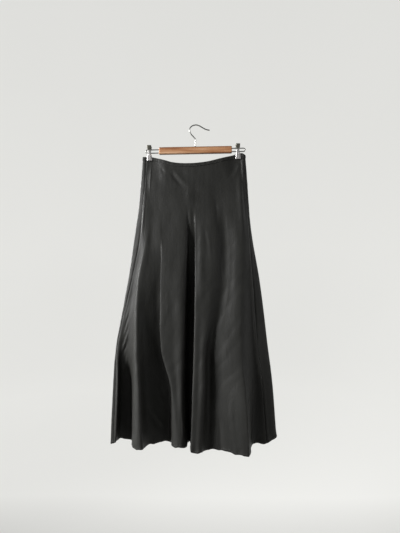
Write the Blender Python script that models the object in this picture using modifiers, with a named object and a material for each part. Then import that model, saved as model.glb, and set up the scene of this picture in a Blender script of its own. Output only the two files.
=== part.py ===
"""Bias-cut maxi skirt held by two clips on a short wooden hanger.

Metres, +Z up.  The origin is under the crown of the hook, where a nail or a rail
carries the hanger.  -Y is the front of the skirt, +X is on the right seen from there.
"""
import math
from collections import namedtuple

import bmesh
import bpy
from mathutils import Vector

MM = 0.001

# ---------------------------------------------------------------- cloth sizes
WALL = 1.2 * MM             # thickness of one layer of cloth as a rigid wall
HEM_WALL = 2.0 * MM         # the turned hem is two layers
HEM_TURN = 7 * MM
SEAM_GAP = 0.5 * MM         # between the panels at the side seams
CLEARANCE = 0.3 * MM        # between pieces that touch
LAYER_GAP = 0.6 * MM        # between front and back where a clip pinches them
BINDING_HEIGHT = 10 * MM
BINDING_WALL = 1.0 * MM
SKIRT_LENGTH = 880 * MM     # mean length from waist edge to hem
HEM_LEVEL = -990 * MM
PANEL_ROWS = 17             # wall facets between the turned hem and the binding
HEM_ROWS = 2                # rows of points that the turned hem thickens
HEM_STEP = 0.005            # share of the length above the turn, thinning to one layer
BINDING_ROWS = 2
BINDING_STEP = 0.014        # share of the length from the binding to the next row
STEPS = 4                   # wall facets between two neighbouring folds

# Share of the way down at which the tables below give each fold: waist, hip, seat,
# thigh, knee, calf and hem.
LEVELS = (0.0, 0.16, 0.28, 0.44, 0.66, 0.8, 1.0)
FULL_LEVEL = 0.5            # the folds' turns reach their own fullness here

# One row a fold line, in mm, round the whole skirt: x and how far it stands out
# to the front (behind is negative) at each of the levels, how far its hem is above
# the hem level, and how full its turn is on the side before and the side after it
# (above 1 gives upright flanks).
Fold = namedtuple("Fold", "name x out lift before after")
FRONT_FOLDS = (
    Fold("seam_left", (-152, -160, -172, -200, -244, -249, -256), (2, 4, 4.5, 3, -2, -6, -7), 2, 1.3, 1.1),
    Fold("ridge_left", (-149, -156, -167, -193, -236, -240, -246), (2.6, 4.8, 5.8, 5, 2, 1, -4), 8, 1, 1),
    Fold("pocket_left", (-146, -153, -163, -188, -225, -234, -242),
         (3.4, 5.8, 7.2, 7, 0, -28, -36), 5, 1, 1),
    Fold("hollow_left", (-143, -150, -159, -185, -209, -204, -204),
         (4.4, 7, 9, 10, 4, -34, -40), -1, 1, 0.8),
    Fold("edge_left", (-138, -146, -155, -180, -195, -193, -193),
         (5.4, 8, 11, 14.2, 16, 16, 20), 2, 0.8, 1),
    Fold("flute_left", (-131, -138, -147, -173, -176, -169, -163),
         (6.4, 9.2, 13, 20, 34, 40, 45), 2, 1.2, 1.2),
    Fold("foot_left", (-123, -127, -133, -145, -153, -151, -145), (7, 10, 13, 13.5, 6, -1, 6), 2, 1, 1),
    Fold("hollow_wide", (-117, -114, -110, -103, -102, -84, -84),
         (7.5, 11, 15.4, 7, -10, -22, -28), 1, 0.7, 0.7),
    Fold("edge_inner", (-103, -100, -100, -107, -105, -75, -72),
         (8.5, 12, 16.4, 19.5, 21, 22, 12), 2, 0.4, 0.4),
    Fold("flute_inner", (-70, -66, -66, -73, -70, -59, -52), (9, 12.5, 17, 20, 22.5, 25, 28), 2, 1.1, 1.1),
    Fold("rim_deep", (-39, -34, -29, -32, -36, -38, -31), (9.5, 12.5, 14, 18, 21, 22, 22), 1, 1, 1),
    Fold("floor_deep", (-23, -22, -22, -23, -27, -27, -22), (10, 12, -4, -24, -32, -34, -20), 1, 1, 1),
    Fold("hollow_deep", (-14, -9, -4, -3, -5, -11, -18), (10, 12, -1, -30, -38, -36, -26), 0, 0.6, 0.8),
    Fold("edge_middle", (-3, 1, 3, 3, -1, -6, -14), (10, 12.4, 14.4, 24, 33, 40, 50), -1, 0.55, 0.5),
    Fold("flute_middle", (11, 15, 24, 20, 11, 7, -1), (10, 12.7, 16.4, 26, 35, 42, 53), -3, 1, 1.1),
    Fold("rim_middle", (32, 43, 55, 49, 29, 26, 17), (9.5, 12.3, 16.5, 22, 34, 41, 50), -4, 1.2, 1),
    Fold("hollow_shallow", (51, 69, 75, 72, 43, 38, 36), (9, 10.8, 9.8, 15.5, 13, 11, 24), -5, 1, 1),
    Fold("foot_broad", (75, 87, 93, 92, 67, 67, 76), (8.6, 11.4, 13.4, 18, 17, 19, 31), -3, 1, 1),
    Fold("flute_broad", (109, 123, 129, 125, 124, 138, 146),
         (8.4, 13.6, 19.5, 26.5, 33.5, 42, 52), -13, 1.2, 1.2),
    Fold("edge_broad", (128, 140, 147, 145, 147, 157, 165), (6.8, 11, 14.8, 22, 28, 36, 44), -12, 1, 1),
    Fold("hollow_right", (139, 149, 158, 166, 172, 179, 177), (4, 6.2, 8.4, 9, 7, 4, -2), 1, 1.1, 1.2),
    Fold("seam_right", (147, 158, 167, 177, 193, 207, 221), (2, 4, 4, 4.5, 3, 3, 0), 5, 1, 1),
)
BACK_FOLDS = (
    Fold("side_right", (153, 164, 175, 199, 223, 239, 253), (0, 0, -2, -4, -9, -12, -15), 20, 1, 1),
    Fold("back_flute_right", (141, 152, 162, 183, 200, 211, 223),
         (-4, -9, -13, -20, -32, -39, -46), 6, 1.2, 1.2),
    Fold("back_hollow_right", (112, 122, 130, 141, 153, 160, 168),
         (-7, -11, -14, -15, -19, -22, -25), 8, 1.2, 1.3),
    Fold("back_flute_third", (78, 82, 85, 90, 97, 100, 104),
         (-9, -13, -20, -29, -40, -47, -54), 3, 1.5, 1.2),
    Fold("back_hollow_mid", (34, 34, 36, 38, 40, 40, 40), (-9, -13, -17, -20, -24, -28, -30), 6, 1.1, 1.3),
    Fold("back_flute_second", (-14, -15, -15, -16, -18, -20, -23),
         (-10, -16, -30, -48, -58, -60, -58), 2, 1.3, 1.6),
    Fold("back_hollow_left", (-60, -64, -70, -78, -86, -88, -92),
         (-9, -13, -17, -20, -29, -37, -42), 7, 1.3, 1.1),
    Fold("back_flute_first", (-104, -110, -115, -128, -147, -152, -156),
         (-8, -12, -18, -26, -38, -46, -54), 4, 1.3, 1.5),
    Fold("back_hollow_far", (-136, -145, -154, -172, -198, -204, -208),
         (-5, -8, -11, -14, -28, -44, -52), 8, 1.2, 1.2),
    Fold("back_flute_far", (-154, -164, -177, -198, -230, -238, -246),
         (-3, -6, -8, -13, -30, -44, -53), 3, 1, 1),
    Fold("side_left", (-163, -174, -189, -211, -246, -257, -267), (0, 0, 0, -2, -9, -13, -16), -1, 1, 1),
)
RING = FRONT_FOLDS + BACK_FOLDS

# The top edge sags between the clips: height in mm at each x.
WaistPoint = namedtuple("WaistPoint", "x z")
WAIST_EDGE = (
    WaistPoint(-163, -98),
    WaistPoint(-135, -99),
    WaistPoint(-106, -106),
    WaistPoint(-70, -116),
    WaistPoint(-20, -119),
    WaistPoint(32, -114),
    WaistPoint(76, -103.5),
    WaistPoint(112, -94),
    WaistPoint(142, -86),
    WaistPoint(154, -92),
)

# --------------------------------------------------------------- hanger sizes
HANGER_TILT = math.radians(-1.12)            # the right end hangs higher
HANGER_CENTRE = Vector((-0.4, 0, -77.1)) * MM
BAR_LENGTH = 226 * MM
BAR_HEIGHT = 22.4 * MM
BAR_DEPTH = 12 * MM
BAR_EDGE = 3 * MM
HOOK_RADIUS = 1.8 * MM
HOOK_INSET = 14 * MM
LOOP_RADIUS = 1.6 * MM
LOOP_SPACING = 10.2 * MM                     # between its two rods
LOOP_CENTRE = -0.9 * MM                      # height over the middle of the bar
LOOP_REACH = 42.5 * MM                       # beyond the end of the bar
LOOP_INSET = 18 * MM

# The hook's wire in mm, from the bar up, round the crown and out to its tip.
HookPoint = namedtuple("HookPoint", "x z")
HOOK_LINE = (
    HookPoint(-0.4, -48),
    HookPoint(-0.8, -42),
    HookPoint(-6.5, -35),
    HookPoint(-14.5, -26),
    HookPoint(-18.8, -15),
    HookPoint(-16.4, -6.6),
    HookPoint(-9.4, -0.6),
    HookPoint(0, 1.8),
    HookPoint(9.2, 0.2),
    HookPoint(18.3, -4.6),
    HookPoint(27, -9.8),
    HookPoint(35.3, -13),
    HookPoint(44, -14.6),
)

# Clip plates in mm: height over the bar's middle, distance of the plate from the
# middle plane, half its width and how far its centre is pressed out.
PlateRow = namedtuple("PlateRow", "up out half crown")
CLIP_PLATE = (
    PlateRow(17.0, 8.6, 5.4, 0.4),
    PlateRow(15.5, 8.2, 6.6, 0.8),
    PlateRow(8.0, 5.8, 6.0, 1.0),
    PlateRow(2.6, 4.2, 4.7, 0.3),
    PlateRow(-4.4, 4.2, 4.4, 0.3),
    PlateRow(-10.0, 4.6, 5.2, 1.0),
    PlateRow(-15.0, 4.2, 6.8, 1.4),
    PlateRow(-22.0, 3.8, 7.6, 1.3),
    PlateRow(-28.5, 3.8, 7.6, 1.0),
    PlateRow(-30.0, 4.0, 6.6, 0.6),
)
CLIP_AT = {"left": -143.1 * MM, "right": 130.9 * MM}
PLATE_WALL = 1.2 * MM
PLATE_COLUMNS = 6
SPRING_RADIUS = 3.1 * MM
SPRING_LENGTH = 8 * MM

# Where a clip holds the cloth flat, and how fast it opens away from there.
JAW_HALF = 9 * MM
JAW_LOW = {"left": -114 * MM, "right": -108 * MM}
PINCH_SPREAD = 34 * MM      # towards the middle of the waist
PINCH_CORNER = 9 * MM       # towards the corner outside the clip
PINCH_DROP = 80 * MM

CLOTH_FINISH = {"colour": (0.030, 0.030, 0.029), "roughness": 0.55, "metallic": 0.0}
WOOD_FINISH = {"colour": (0.43, 0.20, 0.09), "roughness": 0.45, "metallic": 0.0}
STEEL_FINISH = {"colour": (0.55, 0.55, 0.56), "roughness": 0.22, "metallic": 1.0}


# ------------------------------------------------------------------- helpers
def clear_objects():
    for old in list(bpy.data.objects):
        bpy.data.objects.remove(old, do_unlink=True)


def collection(name):
    group = bpy.data.collections.new(name)
    bpy.context.scene.collection.children.link(group)
    return group


def finish(name, colour, roughness, metallic):
    material = bpy.data.materials.new(name)
    material.use_nodes = True
    shader = material.node_tree.nodes["Principled BSDF"]
    shader.inputs["Base Color"].default_value = (*colour, 1.0)
    shader.inputs["Roughness"].default_value = roughness
    shader.inputs["Metallic"].default_value = metallic
    return material


def add_object(name, data, group, look, parent=None):
    piece = bpy.data.objects.new(name, data)
    group.objects.link(piece)
    data.materials.append(finish(name + "_finish", **look))
    piece.parent = parent
    return piece


def mesh_from(bm, name, smooth=True):
    mesh = bpy.data.meshes.new(name)
    bm.to_mesh(mesh)
    bm.free()
    if smooth:
        mesh.shade_smooth()
        mesh.set_sharp_from_angle(angle=math.radians(40))
    return mesh


def smoothstep(value):
    value = min(1.0, max(0.0, value))
    return value * value * (3 - 2 * value)


def hermite(start, end, leave, arrive, share):
    """The cubic from start to end with those two slopes, at share of the way."""
    s2, s3 = share * share, share ** 3
    return ((2 * s3 - 3 * s2 + 1) * start + (s3 - 2 * s2 + share) * leave
            + (3 * s2 - 2 * s3) * end + (s3 - s2) * arrive)


def through(knots, values, at):
    """A smooth curve through the values given at rising knots."""
    last = len(knots) - 1
    at = min(knots[-1], max(knots[0], at))
    i = min(last - 1, sum(1 for knot in knots[1:-1] if at >= knot))

    def slope(j):
        low, high = max(0, j - 1), min(last, j + 1)
        return (values[high] - values[low]) / (knots[high] - knots[low])

    width = knots[i + 1] - knots[i]
    share = (at - knots[i]) / width
    return hermite(values[i], values[i + 1], slope(i) * width, slope(i + 1) * width, share)


def grid(columns, rows, place):
    """A sheet whose point (column, row) lies at place(column, row); row 0 is its foot."""
    bm = bmesh.new()
    bmesh.ops.create_grid(bm, x_segments=columns, y_segments=rows, size=0.5)
    for vert in bm.verts:
        column = round((vert.co.x + 0.5) * columns)
        row = round((vert.co.y + 0.5) * rows)
        vert.co = place(column, row)
    bm.normal_update()
    return bm


# --------------------------------------------------------------------- skirt
def waist_height(x):
    knots = [point.x * MM for point in WAIST_EDGE]
    heights = [point.z * MM for point in WAIST_EDGE]
    return through(knots, heights, x)


def fold_point(fold, level):
    """Place of a fold line in plan at a level, 0 at the waist and 1 at the hem."""
    x = through(LEVELS, fold.x, level) * MM
    y = -through(LEVELS, fold.out, level) * MM
    return Vector((x, y))


def clip_freedom(x, z):
    """0 where a clip's jaws press the layers flat, 1 where the cloth is free."""
    freedom = 1.0
    for side, clip_x in CLIP_AT.items():
        outside = abs(x) > abs(clip_x) and x * clip_x > 0
        spread = PINCH_CORNER if outside else PINCH_SPREAD
        beside = (abs(x - clip_x) - JAW_HALF) / spread
        below = (JAW_LOW[side] - z) / PINCH_DROP
        freedom *= smoothstep(math.hypot(max(0, beside), max(0, below)))
    return freedom


def pinched(x, y, z):
    """Press a point of the ring towards the middle plane near the clips."""
    free = clip_freedom(x, z)
    flat = (LAYER_GAP + WALL) / 2 * y / math.hypot(y, 1 * MM)
    return Vector((x, y * free + flat * (1 - free), z))


def ring_point(place, level):
    """A point of the skirt's wall: place counts fold lines round the ring."""
    count = len(RING)
    i = math.floor(place)
    share = place - i
    around = [RING[(i + k) % count] for k in (-1, 0, 1, 2)]

    def plan(down):
        before, start, end, after = (fold_point(fold, down) for fold in around)
        formed = smoothstep(down / FULL_LEVEL)
        leave = (end - before) / 2 * (1 + (around[1].after - 1) * formed)
        arrive = (after - start) / 2 * (1 + (around[2].before - 1) * formed)
        return hermite(start, end, leave, arrive, share)

    here = plan(level)
    top = waist_height(plan(0.0).x)
    lifts = [fold.lift * MM for fold in around]
    lift = hermite(lifts[1], lifts[2], (lifts[2] - lifts[0]) / 2, (lifts[3] - lifts[1]) / 2, share)
    height = top + (HEM_LEVEL + lift - top) * level
    return pinched(here.x, here.y, height)


def panel_levels():
    """Levels of a panel's rows, hem first: two rows of turned hem, rows of panel,
    and three rows that the binding shares."""
    turn = HEM_TURN / SKIRT_LENGTH
    binding = BINDING_HEIGHT / SKIRT_LENGTH
    low, high = 1 - turn - HEM_STEP, binding + BINDING_STEP
    middle = [low + (high - low) * k / PANEL_ROWS for k in range(PANEL_ROWS + 1)]
    return [1.0, 1 - turn] + middle + [binding, binding / 2, 0.0]


def panel_sheet(first, last):
    """The middle surface of a panel between two fold lines of the ring."""
    levels = panel_levels()
    columns = (last - first) * STEPS

    def place(column, row):
        point = ring_point(first + column / STEPS, levels[row])
        if column in (0, columns):
            inward = 1 if column == 0 else -1
            beside = ring_point(first + (column + inward) / STEPS, levels[row])
            point += (beside - point).normalized() * SEAM_GAP / 2
        return point

    return grid(columns, len(levels) - 1, place)


def add_solidify(piece, thickness, group_name=None, low_share=1.0):
    wall = piece.modifiers.new("wall", "SOLIDIFY")
    wall.thickness = thickness
    wall.offset = 0
    wall.use_even_offset = True
    if group_name:
        wall.vertex_group = group_name
        wall.thickness_vertex_group = low_share


def add_panel(name, group, first, last):
    panel = add_object(name, mesh_from(panel_sheet(first, last), name), group, CLOTH_FINISH)
    hem = panel.vertex_groups.new(name="hem")
    hem.add(list(range(((last - first) * STEPS + 1) * HEM_ROWS)), 1.0, "REPLACE")
    add_solidify(panel, HEM_WALL, "hem", WALL / HEM_WALL)


def add_binding(name, group, first, last):
    """The binding lies on the panel: the panel's own top rows, moved out."""
    sheet = panel_sheet(first, last)
    sheet.verts.ensure_lookup_table()
    columns = (last - first) * STEPS
    lowest = len(panel_levels()) - 1 - BINDING_ROWS
    out = WALL / 2 + CLEARANCE + BINDING_WALL / 2

    def place(column, row):
        vert = sheet.verts[(lowest + row) * (columns + 1) + column]
        return vert.co + vert.normal * out * vert.calc_shell_factor()

    mesh = mesh_from(grid(columns, BINDING_ROWS, place), name)
    sheet.free()
    add_solidify(add_object(name, mesh, group, CLOTH_FINISH), BINDING_WALL)


def add_skirt(group):
    front_last = len(FRONT_FOLDS) - 1
    spans = {"front": (0, front_last), "back": (front_last, len(RING))}
    for side, (first, last) in spans.items():
        add_panel("skirt_" + side, group, first, last)
        add_binding("binding_" + side, group, first, last)


# -------------------------------------------------------------------- hanger
def wire(name, group, points, radius, look, parent=None):
    curve = bpy.data.curves.new(name, "CURVE")
    curve.dimensions = "3D"
    curve.bevel_depth = radius
    curve.bevel_resolution = 2
    curve.use_fill_caps = True
    spline = curve.splines.new("POLY")
    spline.points.add(len(points) - 1)
    for target, point in zip(spline.points, points):
        target.co = (*point, 1.0)
    return add_object(name, curve, group, look, parent)


def drill(name, group, radius, centre, length, axis, parent):
    """A cutter for a round hole along X or Z, centred at centre."""
    bm = bmesh.new()
    bmesh.ops.create_cone(bm, cap_ends=True, segments=16,
                          radius1=radius, radius2=radius, depth=length)
    cutter = bpy.data.objects.new(name, mesh_from(bm, name))
    group.objects.link(cutter)
    cutter.parent = parent
    cutter.location = centre
    if axis == "X":
        cutter.rotation_euler = (0, math.pi / 2, 0)
    cutter.hide_render = True
    cutter.display_type = "WIRE"
    return cutter


def loop_heights():
    return (LOOP_CENTRE - LOOP_SPACING / 2, LOOP_CENTRE + LOOP_SPACING / 2)


def add_bar(group, cutters, parent):
    bm = bmesh.new()
    bmesh.ops.create_cube(bm, size=1.0)
    bmesh.ops.scale(bm, vec=(BAR_LENGTH, BAR_DEPTH, BAR_HEIGHT), verts=bm.verts)
    bar = add_object("hanger_bar", mesh_from(bm, "hanger_bar"), group, WOOD_FINISH, parent)
    rounding = bar.modifiers.new("rounding", "BEVEL")
    rounding.width = BAR_EDGE
    rounding.segments = 3
    holes = [drill("hook_hole", cutters, HOOK_RADIUS + CLEARANCE,
                   (0, 0, BAR_HEIGHT / 2), 2 * (HOOK_INSET + CLEARANCE), "Z", parent)]
    for side, end in (("left", -BAR_LENGTH / 2), ("right", BAR_LENGTH / 2)):
        for number, height in enumerate(loop_heights()):
            holes.append(drill(f"loop_hole_{side}_{number}", cutters, LOOP_RADIUS + CLEARANCE,
                               (end, 0, height), 2 * (LOOP_INSET + CLEARANCE), "X", parent))
    for hole in holes:
        cut = bar.modifiers.new(hole.name, "BOOLEAN")
        cut.operation = "DIFFERENCE"
        cut.object = hole


def add_hook(group):
    """The stem follows the tilted bar's hole, the bend hangs straight."""
    xs = [point.x * MM for point in HOOK_LINE]
    zs = [point.z * MM for point in HOOK_LINE]
    places = list(range(len(HOOK_LINE)))
    steps = 3
    bend = [(through(places, xs, k / steps), 0, through(places, zs, k / steps))
            for k in range(steps * (len(places) - 1) + 1)]
    up = Vector((math.sin(HANGER_TILT), 0, math.cos(HANGER_TILT)))
    foot = HANGER_CENTRE + up * (BAR_HEIGHT / 2 - HOOK_INSET)
    mouth = HANGER_CENTRE + up * (BAR_HEIGHT / 2 + 4 * MM)
    wire("hanger_hook", group, [foot, mouth] + bend, HOOK_RADIUS, STEEL_FINISH)


def add_loop(side, group, parent):
    sign = -1 if side == "left" else 1
    low, high = loop_heights()
    turn = LOOP_SPACING / 2
    inner = BAR_LENGTH / 2 - LOOP_INSET
    outer = BAR_LENGTH / 2 + LOOP_REACH - turn - LOOP_RADIUS
    arc_steps = 10
    points = [(sign * inner, 0, low)]
    for k in range(arc_steps + 1):
        angle = -math.pi / 2 + math.pi * k / arc_steps
        points.append((sign * (outer + turn * math.cos(angle)), 0,
                       LOOP_CENTRE + turn * math.sin(angle)))
    points.append((sign * inner, 0, high))
    wire("loop_" + side, group, points, LOOP_RADIUS, STEEL_FINISH, parent)


def add_clip(side, group, parent):
    centre = CLIP_AT[side] - HANGER_CENTRE.x
    for face, sign in (("front", -1), ("back", 1)):
        rows = CLIP_PLATE[::-1]

        def place(column, row):
            line = rows[row]
            across = 2 * column / PLATE_COLUMNS - 1
            out = line.out + line.crown * (1 - across ** 2)
            return Vector((centre - sign * across * line.half * MM, sign * out * MM,
                           line.up * MM))

        name = f"clip_{side}_{face}"
        bm = grid(PLATE_COLUMNS, len(rows) - 1, place)
        plate = add_object(name, mesh_from(bm, name), group, STEEL_FINISH, parent)
        add_solidify(plate, PLATE_WALL)
    half = SPRING_LENGTH / 2
    wire(f"clip_{side}_spring", group,
         [(centre - half, 0, LOOP_CENTRE), (centre + half, 0, LOOP_CENTRE)],
         SPRING_RADIUS, STEEL_FINISH, parent)


def add_hanger(group, cutters):
    frame = bpy.data.objects.new("hanger_frame", None)
    group.objects.link(frame)
    frame.location = HANGER_CENTRE
    frame.rotation_euler = (0, HANGER_TILT, 0)
    add_bar(group, cutters, frame)
    add_hook(group)
    for side in CLIP_AT:
        add_loop(side, group, frame)
        add_clip(side, group, frame)


def main():
    clear_objects()
    parts = collection("maxi_skirt")
    cutters = collection("cutters")
    add_skirt(parts)
    add_hanger(parts, cutters)
    bpy.context.view_layer.update()


main()
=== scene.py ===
"""The looks of a bias-cut maxi skirt that hangs from a short wooden clip hanger.

Metres, +Z up, the front faces -Y, and the origin is under the crown of the hook.
"""
import math
from collections import namedtuple

import bmesh
import bpy
import numpy as np
from mathutils import Matrix, Vector


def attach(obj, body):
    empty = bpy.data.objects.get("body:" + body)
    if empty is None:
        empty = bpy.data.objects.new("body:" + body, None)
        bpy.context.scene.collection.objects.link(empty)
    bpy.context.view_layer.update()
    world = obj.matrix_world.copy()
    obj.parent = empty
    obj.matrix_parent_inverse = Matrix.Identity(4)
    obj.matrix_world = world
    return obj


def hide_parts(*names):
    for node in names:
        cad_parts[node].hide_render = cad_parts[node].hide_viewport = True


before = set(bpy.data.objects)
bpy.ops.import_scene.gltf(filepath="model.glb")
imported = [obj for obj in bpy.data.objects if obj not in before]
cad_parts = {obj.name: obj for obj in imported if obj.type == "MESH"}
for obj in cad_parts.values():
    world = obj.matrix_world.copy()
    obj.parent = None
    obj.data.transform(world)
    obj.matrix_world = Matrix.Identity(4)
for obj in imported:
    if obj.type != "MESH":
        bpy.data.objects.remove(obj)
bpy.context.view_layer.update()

MM = 0.001
BODY = "root"

# ------------------------------------------------------------------ the view
IMAGE_WIDTH, IMAGE_HEIGHT = 400, 533
PIXEL = 3.1 * MM                       # what one pixel of the image spans there
CAMERA_DISTANCE = 1.35
CROWN_PIXEL = (195.6, 125.6)           # where the image frames the origin
SENSOR_HEIGHT = 24.0                   # mm

# ------------------------------------------------------------------ the room
ROOM_FLOOR, ROOM_TOP = -1.62, 3.4
ROOM_RADIUS, ROOM_BEND = 4.4, 1.4      # the wall runs into the floor in a bend

# ---------------------------------------------------------------- the cloth
CLOTH = 0.7 * MM                       # thickness that shows
HEM_CLOTH = 1.7 * MM                   # the turned hem, two layers
HEM_TURN = 7 * MM
BINDING_HEIGHT = 10 * MM
BINDING_ROWS = (0, 0.5, 1.2, 2.2, 3.6, 5, 6.4, 7.4, 8, 8.6, 9.2, 9.7, 10)   # mm down
BINDING_CLOTH = 0.8 * MM
BINDING_OUT = 1.05 * MM                # middle of the binding over the panel's middle
LAYER_GAP = 0.6 * MM
WALL = 1.2 * MM                        # the rigid wall that the shell stands for
HEM_LEVEL = -990 * MM
PANEL_LENGTH = 0.88                    # along the cloth, waist to hem
SEAM_ALLOWANCE = 10 * MM
LEVELS = (0.0, 0.16, 0.28, 0.44, 0.66, 0.8, 1.0)
FULL_LEVEL = 0.5                       # where the folds have reached their full turns
CALF_LEVEL = 0.7                       # where the columns are spread evenly
TOP_BAND = 0.04                        # share of the length that has the closest rows
HEM_ROWS = (18, 14, 11, 8.6, 7, 5.8, 4.6, 3.4, 2.2, 1.1, 0)   # mm over the hem's edge

# One row a fold line, in mm, round the whole skirt: x and how far it stands out
# to the front (behind is negative) at waist, hip, seat, thigh, knee, calf and hem, how far
# its hem is above the hem level, and how full its turn is on the side before it and
# on the side after it (1 is a plain curve, 2 gives upright flanks).
Fold = namedtuple("Fold", "name x out lift before after")
FRONT_FOLDS = (
    Fold("seam_left", (-152, -160, -172, -200, -244, -249, -256), (2, 4, 4.5, 3, -2, -6, -7), 2, 1.3, 1.1),
    Fold("ridge_left", (-149, -156, -167, -193, -236, -240, -246), (2.6, 4.8, 5.8, 5, 2, 1, -4), 8, 1, 1),
    Fold("pocket_left", (-146, -153, -163, -188, -225, -234, -242),
         (3.4, 5.8, 7.2, 7, 0, -28, -36), 5, 1, 1),
    Fold("hollow_left", (-143, -150, -159, -185, -209, -204, -204),
         (4.4, 7, 9, 10, 4, -34, -40), -1, 1, 0.8),
    Fold("edge_left", (-138, -146, -155, -180, -195, -193, -193),
         (5.4, 8, 11, 14.2, 16, 16, 20), 2, 0.8, 1),
    Fold("flute_left", (-131, -138, -147, -173, -176, -169, -163),
         (6.4, 9.2, 13, 20, 34, 40, 45), 2, 1.2, 1.2),
    Fold("foot_left", (-123, -127, -133, -145, -153, -151, -145), (7, 10, 13, 13.5, 6, -1, 6), 2, 1, 1),
    Fold("hollow_wide", (-117, -114, -110, -103, -102, -84, -84),
         (7.5, 11, 15.4, 7, -10, -22, -28), 1, 0.7, 0.7),
    Fold("edge_inner", (-103, -100, -100, -107, -105, -75, -72),
         (8.5, 12, 16, 18.6, 21, 22, 12), 2, 0.6, 0.6),
    Fold("flute_inner", (-70, -66, -66, -73, -70, -59, -52), (9, 12.5, 17, 20, 22.5, 25, 28), 2, 1.1, 1.1),
    Fold("rim_deep", (-39, -34, -29, -32, -36, -38, -31), (9.5, 12.5, 14, 18, 21, 22, 22), 1, 1, 1),
    Fold("floor_deep", (-23, -22, -22, -23, -27, -27, -22), (10, 12, -4, -24, -32, -34, -20), 1, 1, 1),
    Fold("hollow_deep", (-14, -9, 0, 3, -1, -9, -17), (10, 12, -1, -30, -38, -36, -26), 0, 0.6, 0.8),
    Fold("edge_middle", (-3, 1, -1, -2, -5, -9, -15), (10, 12.4, 14.4, 24, 33, 40, 50), -1, 0.4, 0.4),
    Fold("flute_middle", (11, 15, 24, 20, 11, 7, -1), (10, 12.7, 16.4, 26, 35, 42, 53), -3, 1, 1.1),
    Fold("rim_middle", (32, 46, 62, 54, 29, 26, 17), (9.5, 12.3, 16.5, 22, 34, 41, 50), -4, 1.2, 1),
    Fold("hollow_shallow", (51, 76, 86, 82, 43, 38, 36), (9, 9.6, 7.4, 13, 12, 11, 24), -5, 1, 1),
    Fold("foot_broad", (75, 94, 106, 105, 71, 69, 76), (8.6, 10.4, 10.4, 17, 18, 19, 31), -3, 1, 1),
    Fold("flute_broad", (109, 123, 129, 125, 124, 138, 146),
         (8.4, 12, 14.6, 22, 32.5, 42, 52), -13, 1.2, 1.2),
    Fold("edge_broad", (128, 140, 147, 145, 147, 157, 165), (6.8, 10.6, 13.2, 20, 28, 36, 44), -12, 1, 1),
    Fold("hollow_right", (139, 149, 158, 166, 172, 179, 177), (4, 6.2, 8.4, 9, 7, 4, -2), 1, 1.1, 1.2),
    Fold("seam_right", (147, 158, 167, 177, 193, 207, 221), (2, 1.5, 1, 2.5, 3, 3, 0), 5, 1, 1),
)
BACK_FOLDS = (
    Fold("side_right", (153, 164, 175, 199, 223, 239, 253), (0, -5, -8, -8, -9, -12, -15), 20, 1, 1),
    Fold("back_flute_right", (141, 152, 162, 183, 200, 211, 223),
         (-4, -9, -13, -20, -32, -39, -46), 6, 1.2, 1.2),
    Fold("back_hollow_right", (112, 122, 130, 141, 153, 160, 168),
         (-7, -11, -14, -15, -19, -22, -25), 8, 1.2, 1.3),
    Fold("back_flute_third", (78, 82, 85, 90, 97, 100, 104),
         (-9, -13, -20, -29, -40, -47, -54), 3, 1.5, 1.2),
    Fold("back_hollow_mid", (34, 34, 36, 38, 40, 40, 40), (-9, -13, -17, -20, -24, -28, -30), 6, 1.1, 1.3),
    Fold("back_flute_second", (-14, -15, -15, -16, -18, -20, -23),
         (-10, -16, -30, -48, -58, -60, -58), 2, 1.3, 1.6),
    Fold("back_hollow_left", (-60, -64, -70, -78, -86, -88, -92),
         (-9, -13, -17, -20, -29, -37, -42), 7, 1.3, 1.1),
    Fold("back_flute_first", (-104, -110, -115, -128, -147, -152, -156),
         (-8, -12, -18, -26, -38, -46, -54), 4, 1.3, 1.5),
    Fold("back_hollow_far", (-136, -145, -154, -172, -198, -204, -208),
         (-5, -8, -11, -14, -28, -44, -52), 8, 1.2, 1.2),
    Fold("back_flute_far", (-154, -164, -177, -198, -230, -238, -246),
         (-3, -6, -8, -13, -30, -44, -53), 3, 1, 1),
    Fold("side_left", (-163, -174, -189, -211, -246, -257, -267), (0, 0, 0, -2, -9, -13, -16), -1, 1, 1),
)
RING = FRONT_FOLDS + BACK_FOLDS
FRONT_SPAN = (0, len(FRONT_FOLDS) - 1)
BACK_SPAN = (len(FRONT_FOLDS) - 1, len(RING))

# The top edge sags between the clips: height in mm at each x.
WAIST_EDGE_X = (-163, -135, -106, -70, -20, 32, 76, 112, 142, 154)
WAIST_EDGE_Z = (-98, -99, -106, -116, -119, -114, -103.5, -94, -86, -92)

CLIP_AT = {"left": -143.1 * MM, "right": 130.9 * MM}
JAW_LOW = {"left": -114 * MM, "right": -108 * MM}
JAW_HALF = 9 * MM
PINCH_SPREAD = 44 * MM
PINCH_CORNER = 9 * MM
PINCH_DROP = 80 * MM

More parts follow.
